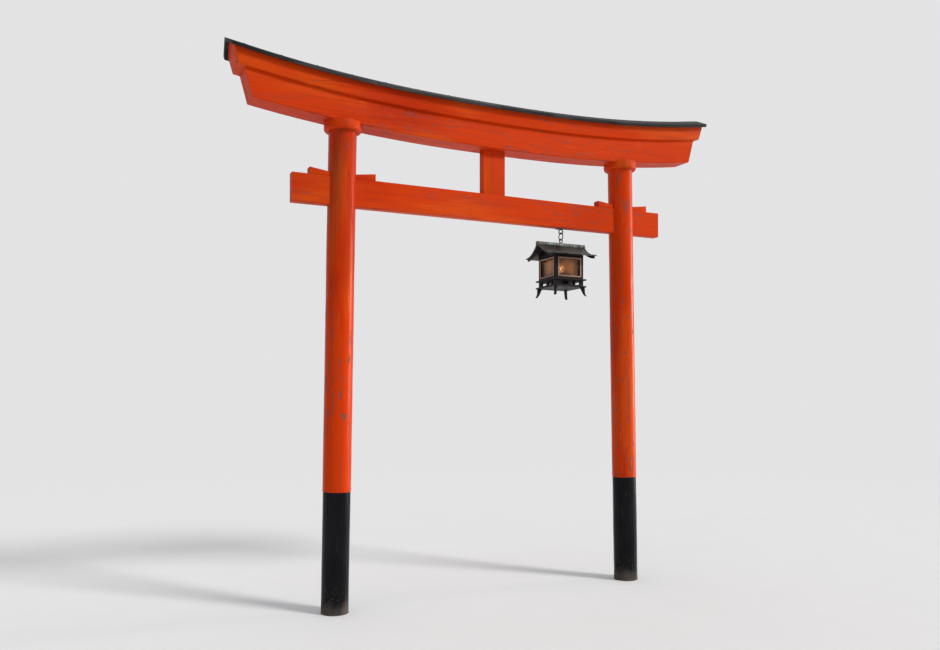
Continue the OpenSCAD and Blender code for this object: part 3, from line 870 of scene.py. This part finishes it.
eased_outside("tie_timber", "tie_beam", "gate", "vermilion_timber", "beams", 1.6 * MM)
eased("strut_timber", "centre_strut", "gate", "vermilion_timber", "strut", 1.4 * MM)
for wedge in ["left_outer_wedge", "left_inner_wedge", "right_inner_wedge", "right_outer_wedge"]:
    eased(wedge + "_timber", wedge, "gate", "vermilion_timber", "beams", 2.2 * MM, 3)
eased("left_ring_timber", "left_cap_ring", "gate", "vermilion_timber", "strut", 2.5 * MM, 3)
eased("right_ring_timber", "right_cap_ring", "gate", "vermilion_timber", "strut", 2.5 * MM, 3)
eased_outside(
    "lower_lintel_timber", "lower_lintel", "gate", "vermilion_timber", "beams", 1.8 * MM, ring_seats
)
eased("upper_lintel_timber", "upper_lintel", "gate", "vermilion_timber", "beams", 3 * MM, 3)
eased("front_boards", "front_lintel_board", "gate", "black_board", "boards", 2 * MM, 3)
eased("back_boards", "back_lintel_board", "gate", "black_board", "boards", 2 * MM, 3)


def domed_heads(name, places, radius, height):
    """Round domed heads, each at a place and standing out along a direction."""
    heads = []
    for place, out in places:
        head = added(
            bpy.ops.mesh.primitive_cylinder_add, vertices=18, radius=radius, depth=height * 2,
            location=place, rotation=Vector(out).to_track_quat("Z", "Y").to_euler(),
        )
        heads.append(rounded(head, height * 0.85, segments=4, least=60))
    return smooth(joined(name, heads), degrees=40)


def rod_along(points, radius):
    """A round rod through a row of points."""
    data = bpy.data.curves.new("edge", "CURVE")
    data.dimensions = "3D"
    data.bevel_depth = radius
    data.bevel_resolution = 4
    data.use_fill_caps = True
    spline = data.splines.new("POLY")
    spline.points.add(len(points) - 1)
    for target, point in zip(spline.points, points):
        target.co = (*point, 1)
    obj = bpy.data.objects.new("edge", data)
    bpy.context.scene.collection.objects.link(obj)
    alone(obj)
    bpy.ops.object.convert(target="MESH")
    return bpy.context.object


# Nails and tongues of the black boards
BOARD_ROWS = {"front": -1, "back": 1}
NAILS_IN_ROW = 16
NAIL_INSET = 22 * MM
NAIL_R = 6.5 * MM
NAIL_H = 2.2 * MM
TONGUE_R = 4.5 * MM
TONGUE_DEPTH = 7 * MM
JOINT_REACH = 12 * MM


def on_board(row, x, inwards):
    """The place and the direction of a board's face, so far in from its eave."""
    low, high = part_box(row + "_lintel_board")
    above = (x, BOARD_ROWS[row] * (max(-low.y, high.y) - inwards), high.z + 100 * MM)
    hit, place, out, _ = bpy.data.objects[row + "_boards"].ray_cast(above, (0, 0, -1))
    if not hit:
        raise RuntimeError("no board under a nail or a joint")
    return place, out


def add_board_nails():
    """Nails along the eaves and the ridge of the black boards."""
    places = []
    for row in BOARD_ROWS:
        low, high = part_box(row + "_lintel_board")
        for k in range(NAILS_IN_ROW):
            x = low.x + (k + 0.5) / NAILS_IN_ROW * (high.x - low.x)
            for inwards in (NAIL_INSET, high.y - low.y - NAIL_INSET):
                places.append(on_board(row, x, inwards))
    dressed(domed_heads("board_nails", places, NAIL_R, NAIL_H), "gate", "black_board", "boards")


def add_board_tongues():
    """Tongues that close the joints between the lengths of board, just under their faces."""
    rods = []
    for row in BOARD_ROWS:
        low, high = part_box(row + "_lintel_board")
        for k in range(1, BOARD_LENGTHS):
            x = low.x + k / BOARD_LENGTHS * (high.x - low.x)
            line = []
            for inwards in (TONGUE_R * 1.5, high.y - low.y - TONGUE_R / 2):
                before, _ = on_board(row, x - JOINT_REACH, inwards)
                beyond, _ = on_board(row, x + JOINT_REACH, inwards)
                line.append((before + beyond) / 2 - Vector((0, 0, TONGUE_DEPTH)))
            rods.append(rod_along(line, TONGUE_R))
    dressed(smooth(joined("board_tongues", rods)), "gate", "black_board", "boards")


add_board_nails()
add_board_tongues()


# Hanger
SCREW_INSET = 8 * MM
SCREW_R = 4 * MM
SCREW_H = 2 * MM


def add_eye_screws():
    """Screw heads at the corners of the plate that holds the lantern's eye."""
    low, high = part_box("lantern_eye")
    middle = (low + high) / 2
    reach = (high.x - low.x) / 2 - SCREW_INSET
    under = beam_low.z - EYE_PLATE_T
    corners = [(a, b) for a in (-1, 1) for b in (-1, 1)]
    places = [((middle.x + a * reach, middle.y + b * reach, under), (0, 0, -1)) for a, b in corners]
    dressed(domed_heads("eye_screws", places, SCREW_R, SCREW_H), "gate", "dark_iron", "iron")


for node in ["lantern_eye", "hanging_ring", "lantern_loop"]:
    coated(nodes[node], "iron")
add_eye_screws()


# Lantern. Each corner post stands a little proud of its rails
PROUD = 1.2 * MM
POST_EASE = 2.4 * MM
RAIL_EASE = 1.2 * MM
BEAD_EASE = 1.3 * MM
PEG_R = 3.6 * MM
PEG_H = 1.1 * MM
ROLL_R = 4.6 * MM


def turned(obj, quarter):
    """Turns a piece about the lantern's upright axis by quarter turns."""
    with editing(obj):
        bpy.ops.transform.rotate(
            value=-quarter * math.pi / 2, orient_axis="Z",
            center_override=(body_middle.x, body_middle.y, 0),
        )
    return obj


def add_frame():
    """Corner posts and rails of the lantern's body."""
    posts = []
    rails = []
    left, right = body_middle.x - body_half, body_middle.x + body_half
    front = body_middle.y - body_half
    levels = [(body_low.z, body_low.z + RAIL_H), (body_high.z - RAIL_H, body_high.z)]
    for quarter in range(4):
        corner = (left + CORNER_W, front + CORNER_W, body_high.z)
        posts.append(turned(bar((left, front, body_low.z), corner, POST_EASE, segments=3), quarter))
        for low, high in levels:
            start = (left + CORNER_W, front + PROUD, low)
            end = (right - CORNER_W, front + WALL_T, high)
            rails.append(turned(bar(start, end, RAIL_EASE), quarter))
    posts = smooth(joined("lantern_corner_posts", posts))
    rails = smooth(joined("lantern_rails", rails))
    dressed(posts, "lantern", "dark_timber", "frame_timber", "lantern_body")
    dressed(rails, "lantern", "dark_timber", "rail_timber", "lantern_body")


def add_beading():
    """Pale strips round each window, the upright ones between the level ones."""
    wide = body_half - CORNER_W
    left, right = body_middle.x - wide, body_middle.x + wide
    front = body_middle.y - body_half
    low, high = body_low.z + RAIL_H, body_high.z - RAIL_H
    spans = {
        "level_bead": [
            ((left - BEAD_W, low - BEAD_W), (right + BEAD_W, low)),
            ((left - BEAD_W, high), (right + BEAD_W, high + BEAD_W)),
        ],
        "upright_bead": [
            ((left - BEAD_W, low), (left, high)),
            ((right, low), (right + BEAD_W, high)),
        ],
    }
    for kind, places in spans.items():
        strips = []
        for quarter in range(4):
            for (x0, z0), (x1, z1) in places:
                strip = bar((x0, front - BEAD_T, z0), (x1, front + PROUD, z1), BEAD_EASE)
                strips.append(turned(strip, quarter))
        beads = smooth(joined(kind + "s", strips))
        dressed(beads, "lantern", "light_timber", kind, "window_beading")


def add_pegs():
    """Peg ends on the corner posts, where the rails are let into them."""
    places = []
    for quarter in range(4):
        turn = quarter * math.pi / 2
        out = Vector((math.sin(turn), -math.cos(turn), 0))
        along = Vector((math.cos(turn), math.sin(turn), 0))
        for side in (-1, 1):
            for z in (body_low.z + RAIL_H / 2, body_high.z - RAIL_H / 2):
                axis = Vector((body_middle.x, body_middle.y, z))
                places.append((axis + out * body_half + along * side * (body_half - CORNER_W / 2), out))
    pegs = domed_heads("lantern_pegs", places, PEG_R, PEG_H)
    dressed(pegs, "lantern", "dark_timber", "peg_timber")


def add_roof_edges():
    """Copper rolled round the roof's four edges, along lines read from the solid's outline."""
    rows = {}
    for v in nodes["lantern_roof"].data.vertices:
        side = 1 if v.co.x > body_middle.x else -1
        rows.setdefault((side, round(v.co.y, 4)), []).append(v.co.copy())
    rods = []
    corners = {}
    for side in (-1, 1):
        line = []
        for key in sorted(key for key in rows if key[0] == side):
            middle = sum(rows[key], Vector()) / len(rows[key])
            middle.x -= side * ROLL_R
            middle.y = max(roof_low.y + ROLL_R, min(roof_high.y - ROLL_R, middle.y))
            line.append(middle)
        corners[side] = (line[0], line[-1])
        rods.append(rod_along(line, ROLL_R))
    for end in (0, 1):
        rods.append(rod_along([corners[-1][end], corners[1][end]], ROLL_R))
    edges = smooth(joined("lantern_roof_edges", rods), degrees=40)
    dressed(edges, "lantern", "aged_copper", "copper_edge")


def add_lamp_core():
    """A rounded core that glows in the middle of the bulb."""
    core = added(
        bpy.ops.mesh.primitive_cylinder_add, vertices=32, radius=CORE_R, depth=CORE_R * 3,
        location=(bulb_middle.x, bulb_middle.y, bulb_low.z + CORE_HEIGHT),
    )
    core.name = "lamp_core"
    rounded(core, CORE_R * 0.9, segments=6, least=60)
    dressed(smooth(core, degrees=60), "lantern", "lamp_glass", "glow")


add_frame()
add_beading()
add_pegs()
add_roof_edges()
eased_outside("lantern_footing", "lantern_base", "lantern", "dark_timber", "rail_timber", 1.5 * MM)
eased("lantern_bracket_feet", "lantern_feet", "lantern", "dark_timber", "frame_timber", 2.5 * MM, 3)
eased("lantern_gable_block", "lantern_gable", "lantern", "dark_timber", "frame_timber", 1.2 * MM)
eased("lantern_barge_boards", "lantern_gable_boards", "lantern", "dark_timber", "rail_timber", 1.5 * MM)
eased("lantern_roof_sheet", "lantern_roof", "lantern", "aged_copper", "copper", 1.2 * MM)
eased("lantern_ridge_cap", "lantern_ridge", "lantern", "aged_copper", "copper_edge", 2 * MM, 3)
for side in ["front", "right", "back", "left"]:
    eased(side + "_glass", side + "_pane", "lantern", "pane", "pane", 0.6 * MM, 1)
eased("socket_moulding", "lamp_socket", "lantern", "black_plastic", "fitting", 2 * MM, 3)
coated(nodes["lamp_bulb"], "bulb")
add_lamp_core()


# Studio: a pale floor that fades into the backdrop between two distances from the gate
FLOOR_SIZE = 120.0
FLOOR_DIM = (0.89, 0.89, 0.89)
FLOOR_PALE = (0.92, 0.92, 0.92)
BACKDROP = (0.77, 0.77, 0.78)
FADE_FROM = 3.0
FADE_TO = 11.0
SKY_TINT = (0.92, 0.95, 1.0)
SKY_STRENGTH = 0.27

# Lamps: the direction each shines from, its strength, its spread in degrees and its colour
LAMPS = {
    "key_lamp": ((0.50, -0.62, 0.62), 1.9, 14, (1.0, 0.98, 0.95)),
    "side_lamp": ((0.98, -0.12, 0.07), 1.6, 12, (1.0, 0.93, 0.84)),
    "top_lamp": ((-0.10, 0.10, 1.0), 0.55, 60, (0.97, 0.98, 1.0)),
    "fill_lamp": ((-0.80, -0.50, 0.40), 0.15, 40, (0.94, 0.97, 1.0)),
}
LAMP_DISTANCE = 8


def add_floor():
    floor = added(bpy.ops.mesh.primitive_plane_add, size=FLOOR_SIZE, location=(middle_x, 0, 0))
    floor.name = "floor"
    f = Finish("studio_floor")
    speck = f.noise((3, 3, 3), detail=2.0)
    f.set("Base Color", f.mix(speck, FLOOR_DIM, FLOOR_PALE))
    f.set("Roughness", 0.85)
    far = f.vector("LENGTH", f.stretched((1, 1, 0), (-middle_x, 0, 0)), out="Value")
    glow = f.node("ShaderNodeEmission", None, {"Color": BACKDROP, "Strength": 1.0})
    surface = Value(f, f.shader.outputs[0])
    inputs = {0: f.band(far, FADE_FROM, FADE_TO), 1: surface, 2: glow}
    f.feed(f.tree.nodes["Material Output"].inputs["Surface"], f.node("ShaderNodeMixShader", None, inputs))
    floor.data.materials.append(f.material)


def add_world():
    """Even light, with the backdrop's colour seen directly and in reflections."""
    world = bpy.data.worlds.new("studio")
    bpy.context.scene.world = world
    world.use_nodes = True
    tree = world.node_tree
    light = tree.nodes["Background"]
    light.inputs["Color"].default_value = (*SKY_TINT, 1)
    light.inputs["Strength"].default_value = SKY_STRENGTH
    seen = tree.nodes.new("ShaderNodeBackground")
    seen.inputs["Color"].default_value = (*BACKDROP, 1)
    seen.inputs["Strength"].default_value = 1.0
    rays = tree.nodes.new("ShaderNodeLightPath")
    direct = rays.outputs["Is Camera Ray"]
    for other in ["Is Glossy Ray", "Is Transmission Ray"]:
        either = tree.nodes.new("ShaderNodeMath")
        either.operation = "MAXIMUM"
        tree.links.new(direct, either.inputs[0])
        tree.links.new(rays.outputs[other], either.inputs[1])
        direct = either.outputs[0]
    mixed = tree.nodes.new("ShaderNodeMixShader")
    tree.links.new(direct, mixed.inputs[0])
    tree.links.new(light.outputs[0], mixed.inputs[1])
    tree.links.new(seen.outputs[0], mixed.inputs[2])
    tree.links.new(mixed.outputs[0], tree.nodes["World Output"].inputs["Surface"])


def add_sun(name, towards, strength, spread, colour):
    """An even lamp far off in one direction, the wider the softer its shadows."""
    data = bpy.data.lights.new(name, "SUN")
    data.energy = strength
    data.angle = math.radians(spread)
    data.color = colour
    lamp = bpy.data.objects.new(name, data)
    bpy.context.scene.collection.objects.link(lamp)
    lamp.location = Vector(towards) * LAMP_DISTANCE
    lamp.rotation_euler = Vector(towards).to_track_quat("Z", "Y").to_euler()


add_floor()
add_world()
for name, settings in LAMPS.items():
    add_sun(name, *settings)
bpy.context.scene.view_settings.view_transform = "Standard"
